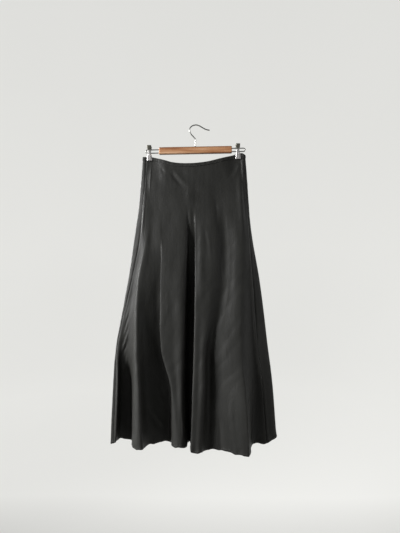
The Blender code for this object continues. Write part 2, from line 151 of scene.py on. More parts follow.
# Small creases, each a soft ridge (height over 0) or trough between two points of
# the panel as it is seen from its own side: mm, x then z, how far it bows aside,
# its half-width and its height.
Crease = namedtuple("Crease", "start end bow half height")
FRONT_CREASES = (
    Crease((-80, -143), (-31, -197), -3, 5, -2.3),
    Crease((-69, -140), (-17, -189), -3, 5, 1.6),
    Crease((-108, -132), (-94, -152), 0, 4, -1.0),
    Crease((-119, -131), (-91, -189), -2, 9, 0.4),
    Crease((-54, -134), (1, -171), -3, 6, -0.5),
    Crease((-138, -121), (-142, -220), 0, 2.6, 1.0),
    Crease((-148, -121), (-150, -220), 0, 2.6, -0.8),
    Crease((138, -115), (110, -171), 3, 5, 1.1),
    Crease((124, -112), (94, -177), 3, 6, -0.8),
    Crease((146, -134), (147, -196), 0, 2.4, 0.3),
    Crease((-97, -226), (-115, -331), -3, 12, -0.4),
    Crease((-155, -150), (-168, -395), 2, 9, 3.4),
    Crease((-150, -195), (-159, -430), 2, 12, 2.4),
    Crease((-157, -225), (-168, -420), 1, 6, 1.8),
    Crease((-110, -118), (-108, -205), 0, 13, -1.4),
    Crease((-146, -430), (-148, -640), 0, 18, 1.2),
    Crease((-118, -440), (-119, -690), 0, 9, -1.6),
    Crease((5, -255), (3, -560), 0, 7, -1.3),
    Crease((19, -262), (17, -600), 0, 10, 1.6),
    Crease((134, -140), (148, -370), 0, 9, 3.0),
    Crease((-18, -245), (-14, -372), 0, 8, 3),
    Crease((60, -222), (66, -318), 2, 5, -1.2),
    Crease((29, -300), (50, -432), 3, 4, 0.9),
    Crease((23, -309), (41, -423), 3, 4, -0.7),
    Crease((71, -300), (80, -382), -3, 4.5, -1.2),
    Crease((75, -362), (77, -436), 2, 4, -1.0),
    Crease((75, -414), (84, -500), -3, 4.5, -1.4),
    Crease((43, -640), (44, -905), 0, 9, -3),
    Crease((57, -340), (64, -423), -2, 4, 0.5),
    Crease((41, -675), (38, -756), 0, 4, -0.8),
    Crease((-129, -630), (-114, -756), 3, 9, -1.2),
    Crease((-120, -786), (-95, -870), 3, 6, -1.8),
    Crease((-148, -879), (-102, -954), -4, 4.5, -3.4),
    Crease((-139, -873), (-92, -948), -4, 5, 2.2),
    Crease((-87, -478), (-84, -630), 0, 5, 0.5),
    Crease((-65, -855), (-56, -960), 0, 4, 0.6),
    Crease((-47, -870), (-42, -966), 0, 3, -0.8),
    Crease((-39, -900), (-38, -972), 0, 2.4, 0.8),
    Crease((-208, -630), (-233, -711), 4, 4, 2.4),
    Crease((-211, -662), (-231, -714), 2, 3.5, -2.6),
    Crease((-208, -704), (-231, -764), 3, 3.5, 2.4),
    Crease((-210, -736), (-230, -792), 2, 3.5, -2.2),
    Crease((-203, -554), (-222, -618), 2, 3.5, 0.8),
    Crease((-204, -575), (-225, -642), 2, 3, -0.8),
    Crease((-206, -594), (-228, -663), 3, 3, 0.8),
    Crease((-207, -618), (-229, -681), 3, 3, -0.9),
    Crease((-188, -690), (-186, -948), 0, 2.6, -0.6),
    Crease((-179, -423), (-197, -539), 2, 5, 0.7),
    Crease((-183, -472), (-203, -584), 2, 4, -0.6),
    Crease((-216, -915), (-215, -978), 0, 10, -3),
    Crease((32, -864), (33, -990), 0, 3, 1.4),
    Crease((51, -870), (50, -990), 0, 3, 1.1),
    Crease((42, -876), (42, -990), 0, 3, -0.8),
    Crease((73, -894), (75, -996), 0, 2.6, -1.4),
    Crease((68, -915), (67, -996), 0, 2.6, 0.7),
    Crease((167, -726), (173, -972), 2, 3, 1.4),
    Crease((178, -825), (178, -981), 0, 3, -1.6),
    Crease((166, -380), (190, -720), -2, 4, 2.4),
    Crease((211, -640), (224, -900), 0, 3.5, 2.2),
    Crease((86, -699), (108, -710), -3, 2.4, 0.7),
    Crease((94, -690), (102, -717), 2, 2.4, -0.5),
    Crease((107, -825), (113, -990), 0, 5, 0.45),
    Crease((136, -539), (144, -756), 2, 5, 0.5),
    Crease((151, -900), (160, -999), 2, 3.2, 0.9),
)
BACK_CREASES = (
    Crease((122, -112), (74, -180), 4, 6, 1.1),
    Crease((108, -108), (60, -170), 3, 5, -0.9),
    Crease((136, -110), (132, -225), 0, 4, 1.1),
    Crease((-140, -118), (-138, -225), 0, 3, 1.0),
    Crease((-126, -118), (-92, -190), -3, 5, -0.9),
    Crease((-114, -112), (-80, -178), -3, 5, 0.9),
    Crease((-30, -240), (-48, -380), 5, 7, 1.0),
    Crease((60, -260), (66, -430), -6, 8, -1.1),
    Crease((-64, -330), (-80, -470), 4, 5, 0.7),
    Crease((150, -420), (176, -700), 8, 7, 1.0),
    Crease((166, -470), (184, -640), 5, 4, -0.8),
    Crease((-118, -480), (-140, -700), 6, 7, 1.1),
    Crease((-16, -560), (-10, -790), -5, 5, -1.0),
    Crease((12, -610), (18, -760), 3, 4, 0.8),
    Crease((40, -880), (66, -965), 4, 4, -1.5),
    Crease((52, -870), (76, -950), 3, 4, 1.1),
    Crease((-98, -850), (-94, -1000), 0, 3.5, 1.3),
    Crease((-88, -880), (-85, -1000), 0, 3, -0.9),
    Crease((-176, -840), (-182, -1000), 2, 3.5, -1.2),
    Crease((142, -860), (146, -1000), 0, 3.5, 1.3),
    Crease((214, -700), (236, -760), -3, 4, 1.1),
    Crease((212, -745), (240, -805), -3, 4, -1.0),
    Crease((-222, -640), (-246, -700), 3, 4, 1.0),
    Crease((-220, -684), (-250, -748), 3, 4, -0.9),
    Crease((10, -900), (-4, -1000), 2, 4, 1.1),
)

# Small tucks that the side seams draw in the cloth: mm down the seam, height and
# half-width, and how steeply each runs down as it leaves the seam.
Tuck = namedtuple("Tuck", "down height half slant")
LEFT_TUCKS = (
    Tuck(38, 0.5, 5, 0.6), Tuck(71, 0.3, 4, -0.3), Tuck(98, 0.5, 6, 0.5), Tuck(140, -0.4, 7, 0.8),
    Tuck(163, 0.3, 4, 0.2), Tuck(205, 0.5, 8, 0.7), Tuck(231, -0.4, 5, 0.5), Tuck(276, 0.4, 9, 0.9),
    Tuck(318, 0.3, 6, 0.4), Tuck(352, -0.5, 8, 0.8), Tuck(377, 0.4, 5, 0.6), Tuck(425, 0.4, 9, 0.7),
    Tuck(470, -0.3, 6, 0.3), Tuck(507, 0.5, 8, 1.0), Tuck(566, 0.4, 9, 0.6), Tuck(612, -0.5, 7, 0.9),
    Tuck(640, 0.4, 6, 0.7), Tuck(701, 0.5, 9, 0.4), Tuck(768, -0.4, 8, 0.5), Tuck(822, 0.3, 7, 0.3),
    Tuck(850, 0.4, 5, 0.2),
)
RIGHT_TUCKS = (
    Tuck(26, 0.4, 5, 0.4), Tuck(62, -0.4, 6, 0.7), Tuck(88, 0.5, 5, 0.3), Tuck(151, 0.3, 8, 0.6),
    Tuck(188, -0.4, 6, 0.4), Tuck(240, 0.4, 9, 0.8), Tuck(262, 0.3, 5, 0.5), Tuck(331, -0.4, 8, 0.7),
    Tuck(389, 0.5, 7, 0.5), Tuck(442, 0.3, 9, 0.9), Tuck(495, -0.4, 7, 0.6), Tuck(548, 0.4, 6, 0.4),
    Tuck(617, 0.4, 10, 0.7), Tuck(676, -0.3, 7, 0.5), Tuck(743, 0.4, 9, 0.3), Tuck(806, 0.4, 6, 0.4),
    Tuck(846, -0.3, 5, 0.2),
)

# The cloth's slow unevenness: sines of a wavelength and a height in mm, and a phase.
DRAPE_WAVES = ((83, 0.2, 0.4), (131, 0.3, 2.1), (49, 0.1, 1.0))
LOW_WAVES = ((19, 0.05, 0.3), (31, 0.13, 1.9), (47, 0.2, 0.8))
HEM_WAVES = ((31, 0.6, 0.6), (52, 0.9, 2.4), (19, 0.3, 0.0), (12.7, 0.16, 1.1))
HEM_SCALLOPS = ((47, 1.2, 0.9), (27, 0.6, 2.2), (16, 0.2, 0.2))
BINDING_PUCKERS = ((6.5, 0.08, 0.0), (14, 0.14, 1.0), (23, 0.1, 2.2))

# Each panel: its span of the ring, its columns and rows, its creases and the tucks at
# the seam where its columns start and at the one where they end.
PANELS = {
    "front": (FRONT_SPAN, 300, 138, FRONT_CREASES, (LEFT_TUCKS, RIGHT_TUCKS)),
    "back": (BACK_SPAN, 240, 118, BACK_CREASES, (RIGHT_TUCKS, LEFT_TUCKS)),
}

# --------------------------------------------------------------- the sewing
HEM_STITCH_AT = 5.8 * MM               # above the hem's edge
HEM_STITCH_PITCH = 2.8 * MM
WAIST_STITCH_AT = 8.6 * MM             # below the waist's edge
WAIST_STITCH_PITCH = 2.5 * MM
STITCH_GAP = 0.7 * MM
THREAD = 0.3 * MM                      # radius

# ---------------------------------------------------------------- the hanger
HANGER_TILT = math.radians(-1.12)      # the right end hangs higher
HANGER_CENTRE = Vector((-0.4, 0, -77.1)) * MM
HANGER = Matrix.Translation(HANGER_CENTRE) @ Matrix.Rotation(HANGER_TILT, 4, "Y")
BAR_LENGTH = 226 * MM
BAR_HEIGHT = 22.4 * MM
HOOK_RADIUS = 1.8 * MM
HOOK_INSET = 14 * MM
LOOP_RADIUS = 1.6 * MM
LOOP_SPACING = 10.2 * MM
LOOP_CENTRE = -0.9 * MM
LOOP_REACH = 42.5 * MM
LOOP_INSET = 18 * MM
HOOK_X = (-0.4, -0.8, -6.5, -14.5, -18.8, -16.4, -9.4, 0, 9.2, 18.3, 27, 35.3, 44)
HOOK_Z = (-48, -42, -35, -26, -15, -6.6, -0.6, 1.8, 0.2, -4.6, -9.8, -13, -14.6)

# A clip's plate from its jaw up to its handle, in mm over the middle of the bar: how
# far it stands out, half its width and how much it bulges.
PLATE_UP = (-30, -28.5, -22, -15, -10, -4.4, 2.6, 8, 15.5, 17)
PLATE_OUT = (4, 3.8, 3.8, 4.2, 4.6, 4.2, 4.2, 5.8, 8.2, 8.6)
PLATE_HALF = (6.6, 7.6, 7.6, 6.8, 5.2, 4.4, 4.7, 6, 6.6, 5.4)
PLATE_CROWN = (0.6, 1, 1.3, 1.4, 1, 0.3, 0.3, 1, 0.8, 0.4)
PLATE_WALL = 1.0 * MM
PLATE_ROWS, PLATE_COLUMNS = 72, 28
GRIP_UP = (8.5, 11, 13.5)              # cross ribs on the handle
COIL_RADIUS = 2.4 * MM
COIL_WIRE = 0.65 * MM
COIL_LENGTH = 7.0 * MM
COIL_TURNS = 4
COIL_LEG = 8 * MM


# ================================================================== materials
class Value:
    """A shader socket in an expression; every operator adds its Math node."""

    def __init__(self, look, socket):
        self.look = look
        self.socket = socket

    def math(self, operation, first, second):
        return self.look.node("ShaderNodeMath", {"operation": operation}, {0: first, 1: second})

    def __add__(self, other):
        return self.math("ADD", self, other)

    def __radd__(self, other):
        return self.math("ADD", other, self)

    def __sub__(self, other):
        return self.math("SUBTRACT", self, other)

    def __rsub__(self, other):
        return self.math("SUBTRACT", other, self)

    def __mul__(self, other):
        return self.math("MULTIPLY", self, other)

    def __rmul__(self, other):
        return self.math("MULTIPLY", other, self)

    def __truediv__(self, other):
        return self.math("DIVIDE", self, other)


class Look:
    """A material: one Principled shader and the nodes that feed it."""

    def __init__(self, name, **constants):
        self.material = bpy.data.materials.new(name)
        self.material.use_nodes = True
        self.tree = self.material.node_tree
        self.shader = self.tree.nodes["Principled BSDF"]
        for socket, value in constants.items():
            self.shader.inputs[socket.replace("_", " ")].default_value = value

    def node(self, kind, settings=None, inputs=None, output=0):
        """One node: its settings first, then the values or links of its sockets."""
        made = self.tree.nodes.new(kind)
        for name, value in (settings or {}).items():
            if name == "stops":
                self.set_stops(made.color_ramp, value)
            else:
                setattr(made, name, value)
        for socket, value in (inputs or {}).items():
            if isinstance(value, Value):
                self.tree.links.new(value.socket, made.inputs[socket])
            else:
                made.inputs[socket].default_value = value
        return Value(self, made.outputs[output])

    @staticmethod
    def set_stops(ramp, stops):
        while len(ramp.elements) < len(stops):
            ramp.elements.new(1.0)
        for element, (position, colour) in zip(ramp.elements, stops):
            element.position = position
            element.color = (*colour, 1.0)

    def feed(self, **links):
        for socket, value in links.items():
            self.tree.links.new(value.socket, self.shader.inputs[socket.replace("_", " ")])

    def noise(self, where, scale, detail=3.0, roughness=0.5):
        return self.node("ShaderNodeTexNoise", {}, {
            "Vector": where, "Scale": scale, "Detail": detail, "Roughness": roughness})

    def stretched(self, where, scale):
        return self.node("ShaderNodeMapping", {}, {"Vector": where, "Scale": scale})

    def ramp(self, value, stops):
        return self.node("ShaderNodeValToRGB", {"stops": stops}, {"Fac": value})

    def bump(self, height, strength, distance, below=None):
        inputs = {"Height": height, "Strength": strength, "Distance": distance}
        if below is not None:
            inputs["Normal"] = below
        return self.node("ShaderNodeBump", {}, inputs)


def satin_look(name, dark, light, shine):
    """Sandwashed satin: a soft sheen, a fine bias weave, a faintly mottled black."""
    look = Look(name, Specular_IOR_Level=0.3)
    place = look.node("ShaderNodeTexCoord", output=3)
    cut = look.node("ShaderNodeUVMap", {"uv_map": "cut"})
    mottle = look.noise(place, 11.0, 4.0, 0.6)
    washed = look.noise(look.stretched(place, (34.0, 34.0, 4.0)), 1.0, 3.0, 0.55)
    tone = mottle * 0.5 + washed * 0.5
    look.feed(Base_Color=look.ramp(tone, ((0.32, dark), (0.70, light))))
    look.feed(Roughness=shine + 0.2 * (tone - 0.5))
    bias = look.node("ShaderNodeMapping", {}, {"Vector": cut, "Rotation": (0, 0, math.pi / 4)})
    threads = {"wave_type": "BANDS", "bands_direction": "X", "wave_profile": "SIN"}
    warp = look.node("ShaderNodeTexWave", threads, {
        "Vector": bias, "Scale": 900.0, "Distortion": 0.6, "Detail": 1.0}, output=1)
    weft = look.node("ShaderNodeTexWave", {**threads, "bands_direction": "Y"}, {
        "Vector": bias, "Scale": 700.0, "Distortion": 0.6, "Detail": 1.0}, output=1)
    grain = look.noise(place, 420.0, 2.0, 0.6)
    weave = look.bump(warp * 0.5 + weft * 0.5 + grain * 0.8, 0.22, 0.0002)
    streaks = look.noise(look.stretched(place, (120.0, 120.0, 9.0)), 1.0, 3.0, 0.5)
    crumple = look.noise(look.stretched(place, (46.0, 46.0, 24.0)), 1.0, 4.0, 0.6)
    drawn = look.bump(streaks, 0.22, 0.0012, below=weave)
    look.feed(Normal=look.bump(crumple, 0.4, 0.0030, below=drawn))
    return look.material


def thread_look():
    """Sewing thread, twisted, a little lighter than the cloth: partly its own tone and partly a painted
    highlight for the bright stitch lines.
    """
    look = Look("charcoal_thread", Specular_IOR_Level=0.4)
    place = look.node("ShaderNodeTexCoord", output=3)
    twist = look.noise(place, 900.0, 2.0, 0.6)
    # lighter than the cloth: partly the thread's tone and partly a painted highlight
    look.feed(Base_Color=look.ramp(twist, ((0.3, (0.05, 0.05, 0.047)), (0.7, (0.12, 0.12, 0.115)))))
    look.feed(Roughness=0.5 + 0.2 * twist)
    return look.material


def wood_look():
    """Varnished reddish wood, its grain along the bar, and painted shade that darkens its long top and
    bottom edges.
    """
    look = Look("bar_wood", Coat_Weight=0.25, Coat_Roughness=0.25, Specular_IOR_Level=0.4)
    place = look.node("ShaderNodeTexCoord", output=3)
    along = look.node("ShaderNodeSeparateXYZ", {}, {"Vector": place}, output=0)
    height = look.node("ShaderNodeSeparateXYZ", {}, {"Vector": place}, output=2)
    up = height - HANGER_CENTRE.z + along * math.sin(HANGER_TILT)
    from_middle = look.node("ShaderNodeMath", {"operation": "ABSOLUTE"}, {0: up}) / (BAR_HEIGHT / 2)
    fibres = look.noise(look.stretched(place, (9.0, 160.0, 240.0)), 1.0, 5.0, 0.6)
    bands = look.noise(look.stretched(place, (7.0, 40.0, 95.0)), 1.0, 4.0, 0.55)
    pores = look.noise(look.stretched(place, (70.0, 700.0, 900.0)), 1.0, 2.0, 0.5)
    tone = bands * 0.62 + fibres * 0.38
    timber = look.ramp(tone, (
        (0.34, (0.25, 0.095, 0.038)), (0.45, (0.43, 0.19, 0.086)),
        (0.55, (0.55, 0.28, 0.14)), (0.65, (0.74, 0.46, 0.28))))
    # painted shade: the bar's top and bottom edges are darkened as if in shadow, broken up a little by the
    # fibres
    painted_edge_shade = look.ramp(from_middle + 0.25 * (fibres - 0.5), ((0.66, (0, 0, 0)), (0.9, (1, 1, 1))))
    look.feed(Base_Color=look.node("ShaderNodeMix", {"data_type": "RGBA", "blend_type": "MULTIPLY"}, {
        0: painted_edge_shade * 0.85, 6: timber, 7: (0.34, 0.30, 0.26, 1.0)}, output=2))
    look.feed(Roughness=0.36 + 0.22 * fibres)
    look.feed(Normal=look.bump(fibres + pores, 0.25, 0.0004))
    return look.material


def wire_look():
    """Plated wire, dulled by handling, with a faint drawn grain."""
    look = Look("bright_wire", Metallic=1.0)
    place = look.node("ShaderNodeTexCoord", output=3)
    haze = look.noise(place, 160.0, 3.0, 0.6)
    look.feed(Base_Color=look.ramp(haze, ((0.3, (0.20, 0.20, 0.19)), (0.7, (0.36, 0.36, 0.345)))))
    look.feed(Roughness=0.30 + 0.2 * haze)
    look.feed(Normal=look.bump(haze, 0.2, 0.0002))
    return look.material


def clip_look():
    """Pressed steel: lighter on the jaws and darker up the handles."""
    look = Look("clip_steel", Metallic=0.55)
    place = look.node("ShaderNodeTexCoord", output=3)
    cut = look.node("ShaderNodeUVMap", {"uv_map": "cut"})
    up = look.node("ShaderNodeSeparateXYZ", {}, {"Vector": cut}, output=1)
    scuff = look.noise(look.stretched(place, (160.0, 160.0, 420.0)), 1.0, 4.0, 0.6)
    # the plate's colour darkens from the jaw up the handle, with scuff noise mixed in
    darker_up_the_plate = (up + 0.004) * 90.0 + 0.5 * (scuff - 0.5)
    look.feed(Base_Color=look.ramp(darker_up_the_plate, (
        (0.0, (0.52, 0.505, 0.50)), (0.35, (0.40, 0.39, 0.375)), (0.9, (0.15, 0.145, 0.12)))))
    look.feed(Roughness=0.30 + 0.26 * scuff)
    look.feed(Normal=look.bump(scuff, 0.15, 0.0003))
    return look.material


def studio_look():
    """The pale sweep: it glows behind the skirt, so that it stays even, and dims in front."""
    look = Look("studio_white", Roughness=0.9, Specular_IOR_Level=0.1, Emission_Strength=1.0)
    place = look.node("ShaderNodeTexCoord", output=3)
    depth = look.node("ShaderNodeSeparateXYZ", {}, {"Vector": place}, output=1)
    cloudy = look.noise(place, 0.8, 2.0, 0.5)
    look.feed(Base_Color=look.ramp(cloudy, ((0.3, (0.23, 0.23, 0.224)), (0.7, (0.25, 0.25, 0.244)))))
    look.feed(Emission_Color=look.ramp(depth * 0.5 + 0.5 + 0.06 * (cloudy - 0.5), (
        (0.36, (0.085, 0.085, 0.083)), (0.95, (0.665, 0.665, 0.645)))))
    return look.material


# ==================================================================== shapes
def add_piece(name, data, material, replaces=()):
    piece = bpy.data.objects.new(name, data)
    bpy.context.scene.collection.objects.link(piece)
    data.materials.clear()
    data.materials.append(material)
    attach(piece, BODY)
    if replaces:
        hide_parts(*replaces)
    return piece


def mesh_from(bm, name, sharp=40):
    mesh = bpy.data.meshes.new(name)
    bm.to_mesh(mesh)
    bm.free()
    mesh.shade_smooth()
    mesh.set_sharp_from_angle(angle=math.radians(sharp))
    return mesh


def smoothstep(value):
    value = np.clip(value, 0.0, 1.0)
    return value * value * (3 - 2 * value)


def hermite(start, end, leave, arrive, share):
    """The cubic from start to end with those two slopes, at share of the way."""
    s2, s3 = share ** 2, share ** 3
    return ((2 * s3 - 3 * s2 + 1) * start + (s3 - 2 * s2 + share) * leave
            + (3 * s2 - 2 * s3) * end + (s3 - s2) * arrive)


def through(knots, values, at):
    """A smooth curve through values at rising knots; values may be rows of values."""
    knots = np.asarray(knots, float)
    values = np.asarray(values, float)
    at = np.clip(at, knots[0], knots[-1])
    i = np.clip(np.searchsorted(knots, at, side="right") - 1, 0, len(knots) - 2)
    last = len(knots) - 1
    low, high = np.maximum(np.arange(last + 1) - 1, 0), np.minimum(np.arange(last + 1) + 1, last)
    slopes = (values[..., high] - values[..., low]) / (knots[high] - knots[low])
    width = knots[i + 1] - knots[i]
    share = (at - knots[i]) / width
    return hermite(values[..., i], values[..., i + 1], slopes[..., i] * width,
                   slopes[..., i + 1] * width, share)


# ---------------------------------------------------------------- skirt form
def fold_values(field):
    return np.array([getattr(fold, field) for fold in RING], float) * MM


def turns(side, levels):
    """How full each fold's turn is on one side, a row for every level."""
    full = np.array([getattr(fold, side) for fold in RING], float)
    return 1 + (full - 1) * smoothstep(levels / FULL_LEVEL)[:, None]


def round_the_ring(stations, places, turn_before=1.0, turn_after=1.0):
    """Values at places of the ring, from a row of stations for every level."""
    count = len(RING)
    i = np.floor(places).astype(int)
    before, start, end, after = (stations[:, (i + k) % count] for k in (-1, 0, 1, 2))
    turn_before = np.broadcast_to(turn_before, stations.shape)
    turn_after = np.broadcast_to(turn_after, stations.shape)
    leave = (end - before) / 2 * turn_after[:, i % count]
    arrive = (after - start) / 2 * turn_before[:, (i + 1) % count]
    return hermite(start, end, leave, arrive, places - i)


def clip_freedom(x, z):
    """0 where a clip's jaws press the layers flat, 1 where the cloth is free."""
    freedom = np.ones_like(x)
    for side, clip_x in CLIP_AT.items():
        outside = (np.abs(x) > abs(clip_x)) & (x * clip_x > 0)
        spread = np.where(outside, PINCH_CORNER, PINCH_SPREAD)
        beside = np.maximum(0, (np.abs(x - clip_x) - JAW_HALF) / spread)
        below = np.maximum(0, (JAW_LOW[side] - z) / PINCH_DROP)
        freedom *= smoothstep(np.hypot(beside, below))
    return freedom


def skirt_form(places, levels):
    """Points of the skirt's middle surface, a row for every level."""
    places = np.asarray(places, float)
    levels = np.asarray(levels, float)
    turn = turns("before", levels), turns("after", levels)
    x = round_the_ring(through(LEVELS, fold_values("x"), levels).T, places, *turn)
    y = -round_the_ring(through(LEVELS, fold_values("out"), levels).T, places, *turn)
    top_x = round_the_ring(fold_values("x")[:, :1].T, places)[0]
    top = through(np.array(WAIST_EDGE_X) * MM, np.array(WAIST_EDGE_Z) * MM, top_x)
    lift = round_the_ring(fold_values("lift")[None, :], places)[0]
    z = top + (HEM_LEVEL + lift - top) * levels[:, None]
    free = clip_freedom(x, z)
    flat = (LAYER_GAP + WALL) / 2 * y / np.hypot(y, 1 * MM)
    return np.stack((x, y * free + flat * (1 - free), z), axis=-1)


def form_normals(points):
    """Outward normals of a form whose columns run round the ring from its front left."""
    along = np.gradient(points, axis=1)
    down = np.gradient(points, axis=0)
    normals = np.cross(down, along)
    return normals / np.linalg.norm(normals, axis=-1, keepdims=True)


# ------------------------------------------------------------- cloth surfaces
def crease_heights(points, creases):
    """How far the small creases lift each point, tapering at their ends and sides."""
    x, z = points[..., 0], points[..., 2]
    total = np.zeros_like(x)
    for crease in creases:
        ax, az = (value * MM for value in crease.start)
        bx, bz = (value * MM for value in crease.end)
        length = math.hypot(bx - ax, bz - az)
        ux, uz = (bx - ax) / length, (bz - az) / length
        along = ((x - ax) * ux + (z - az) * uz) / length
        bow = crease.bow * MM * np.sin(math.pi * np.clip(along, 0, 1))
        across = (x - ax) * -uz + (z - az) * ux - bow
        taper = smoothstep(along / 0.35) * smoothstep((1 - along) / 0.4)
        total += crease.height * MM * taper * np.exp(-(across / (crease.half * MM)) ** 2)
    return total


def tuck_heights(down, to_seam, tucks):
    """How far a seam's tucks lift each point near it."""
    total = np.zeros_like(down)
    for tuck in tucks:
        along = down - tuck.down * MM - tuck.slant * to_seam
        total += tuck.height * MM * np.exp(-(along / (tuck.half * MM)) ** 2)
    return total * np.exp(-((to_seam - 8 * MM) / (9 * MM)) ** 2)


def distance_down(points):
    """Length of cloth below the waist edge, a column at a time."""
    steps = np.linalg.norm(np.diff(points, axis=0), axis=-1)
    return np.vstack((np.zeros(points.shape[1]), np.cumsum(steps, axis=0)))


def distance_round(points):
    """Length of cloth from the left end of each row."""
    steps = np.linalg.norm(np.diff(points, axis=1), axis=-1)
    return np.hstack((np.zeros((points.shape[0], 1)), np.cumsum(steps, axis=1)))


def ripple(where, waves):
    """A sum of sines, each a wavelength, a height and a phase, in mm and radians."""
    return sum(height * MM * np.sin(2 * math.pi * where / (length * MM) + phase)
               for length, height, phase in waves)


def even_places(span, columns):
    """Places of the ring for a panel's columns: about even along the cloth at the
    calf, and closer together where a fold turns sharply."""
    fine = np.linspace(span[0], span[1], 60 * (span[1] - span[0]) + 1)
    length = distance_round(skirt_form(fine, [CALF_LEVEL]))[0]
    share = length / length[-1]
    density = 0.7 * np.gradient(share, fine) + 0.3 / (span[1] - span[0])
    for index, fold in enumerate(RING):
        if fold.name.startswith("edge"):
            density = density * (1 + 4 * np.exp(-((fine - index) / 0.12) ** 2))
    share = np.concatenate(((0.0,), np.cumsum((density[1:] + density[:-1]) / 2 * np.diff(fine))))
    return np.interp(np.linspace(0, share[-1], columns + 1), share, fine)


def close_levels(rows):
    """Levels of the rows: close at the binding and the hem, wider towards the knee."""
    levels = np.linspace(0, 1, rows + 1) ** 1.15
    top = np.linspace(0, TOP_BAND, 13)
    hem = 1 - np.array(HEM_ROWS) * MM / PANEL_LENGTH
    middle = levels[(levels > TOP_BAND + 0.002) & (levels < hem[0] - 0.002)]
    return np.concatenate((top, middle, hem))


def dressed_form(span, columns, rows, creases, seams):
    """The form with its hem, seams, creases and slow unevenness worked in."""
    levels = close_levels(rows)
    points = skirt_form(even_places(span, columns), levels)
    normals = form_normals(points)
    down = distance_down(points)
    round_ = distance_round(points)
    to_hem = down[-1] - down
    to_left, to_right = round_, round_[:, -1:] - round_
    to_seam = np.minimum(to_left, to_right)

    free = smoothstep(down / (60 * MM))
    lift = crease_heights(points, creases)
    lift += free * ripple(points[..., 0] + 0.35 * points[..., 2], DRAPE_WAVES)
    low = smoothstep((down - 150 * MM) / (450 * MM))
    lift += low * ripple(round_ - 0.04 * down, LOW_WAVES)
    firm = smoothstep((down - 40 * MM) / (60 * MM))
    lift += firm * (tuck_heights(down, to_left, seams[0]) + tuck_heights(down, to_right, seams[1]))
    allowance = smoothstep(to_seam / (1.5 * MM)) * smoothstep((SEAM_ALLOWANCE - to_seam) / (3 * MM))
    sewn = smoothstep((1.6 * MM - to_seam) / (1.6 * MM))
    lift += smoothstep(down / (14 * MM)) * 0.5 * MM * (allowance - sewn)
    off_seam = smoothstep(to_seam / (12 * MM))
    lift += ripple(round_, HEM_WAVES) * smoothstep((26 * MM - to_hem) / (26 * MM)) * off_seam
    scallops = ripple(round_, HEM_SCALLOPS) * smoothstep((34 * MM - to_hem) / (34 * MM)) * off_seam
    drawn_in = np.exp(-((to_hem - HEM_STITCH_AT) / (1.2 * MM)) ** 2)
    turned_under = smoothstep((3.6 * MM - to_hem) / (3.6 * MM))
    lift -= (0.35 * drawn_in + 1.2 * turned_under) * MM
    dressed = points + normals * lift[..., None]
    dressed[..., 2] += scallops
    return dressed


def sheet_mesh(name, points, uvs, sharp=70):
    """A grid sheet moved onto a table of points, with the cut as its UV map."""
    rows, columns = points.shape[0] - 1, points.shape[1] - 1
    bm = bmesh.new()
    bmesh.ops.create_grid(bm, x_segments=columns, y_segments=rows, size=0.5)
    layer = bm.loops.layers.uv.new("cut")
    spots = {}
    for vert in bm.verts:
        column = round((vert.co.x + 0.5) * columns)
        row = rows - round((vert.co.y + 0.5) * rows)
        spots[vert] = (row, column)
    for vert, spot in spots.items():
        vert.co = points[spot]
    for face in bm.faces:
        for loop in face.loops:
            loop[layer].uv = uvs[spots[loop.vert]]
    return mesh_from(bm, name, sharp)


def thicken(piece, thickness, group=None, share=1.0):
    wall = piece.modifiers.new("wall", "SOLIDIFY")
    wall.thickness = thickness
    wall.offset = 0
    wall.use_even_offset = True
    if group:
        wall.vertex_group = group
        wall.thickness_vertex_group = share


def add_panel(side, points, material):
    """One panel of the cloth, thicker where its hem is turned up."""
    down, round_ = distance_down(points), distance_round(points)
    uvs = np.stack((round_ - round_[:, -1:] / 2, -down), axis=-1)
    name = f"{side}_panel"
    piece = add_piece(name, sheet_mesh(name, points, uvs), material,
                      (f"skirt_{side}",))
    near_hem = smoothstep((HEM_TURN + 1.5 * MM - (down[-1] - down)) / (1.5 * MM))
    group = piece.vertex_groups.new(name="turned_hem")
    row_count, column_count = points.shape[:2]
    for row, column in zip(*np.nonzero(near_hem)):
        index = (row_count - 1 - row) * column_count + column
        group.add([int(index)], float(near_hem[row, column]), "REPLACE")
    thicken(piece, HEM_CLOTH, "turned_hem", CLOTH / HEM_CLOTH)
    return piece


def band_rows(points, down, depths):
    """Points of the form at lengths of cloth under its top edge, a row for each depth."""
    columns = range(points.shape[1])
    depths = np.broadcast_to(np.asarray(depths, float).reshape(len(depths), -1),
                             (len(depths), points.shape[1]))
    return np.stack([np.stack([np.interp(depths[:, c], down[:, c], points[:, c, axis])
                               for c in columns], axis=1) for axis in range(3)], axis=-1)


def binding_rise(depths, round_):
    """How far the binding's middle stands over the panel's, a soft uneven roll."""
    depths = np.asarray(depths)[:, None]
    roll = np.sin(math.pi * np.clip(depths / BINDING_HEIGHT, 0, 1)) ** 0.7
    pucker = ripple(round_, BINDING_PUCKERS)
    drawn_in = np.exp(-((depths - WAIST_STITCH_AT) / (0.9 * MM)) ** 2)
    return BINDING_OUT + 0.45 * MM * roll + pucker * roll - 0.2 * MM * drawn_in


def add_binding(side, points, material, thread):
    """The strip round the top edge, and the row of stitches along its foot."""
    down = distance_down(points)
    depths = np.array(BINDING_ROWS) * MM
    rows = band_rows(points, down, depths)
    normals = form_normals(rows)
    round_ = distance_round(rows)
    rows = rows + normals * binding_rise(depths, round_)[..., None]
    uvs = np.stack((round_, -np.repeat(depths[:, None], rows.shape[1], axis=1)), axis=-1)
    name = f"{side}_binding"
    piece = add_piece(name, sheet_mesh(name, rows, uvs), material,
                      (f"binding_{side}",))
    thicken(piece, BINDING_CLOTH)
    seam_row = int(np.argmin(np.abs(depths - WAIST_STITCH_AT)))
    stitches = add_stitches(f"{side}_waist_stitches", rows[seam_row], normals[seam_row],
                            WAIST_STITCH_PITCH, BINDING_CLOTH / 2, thread)
    return piece, stitches


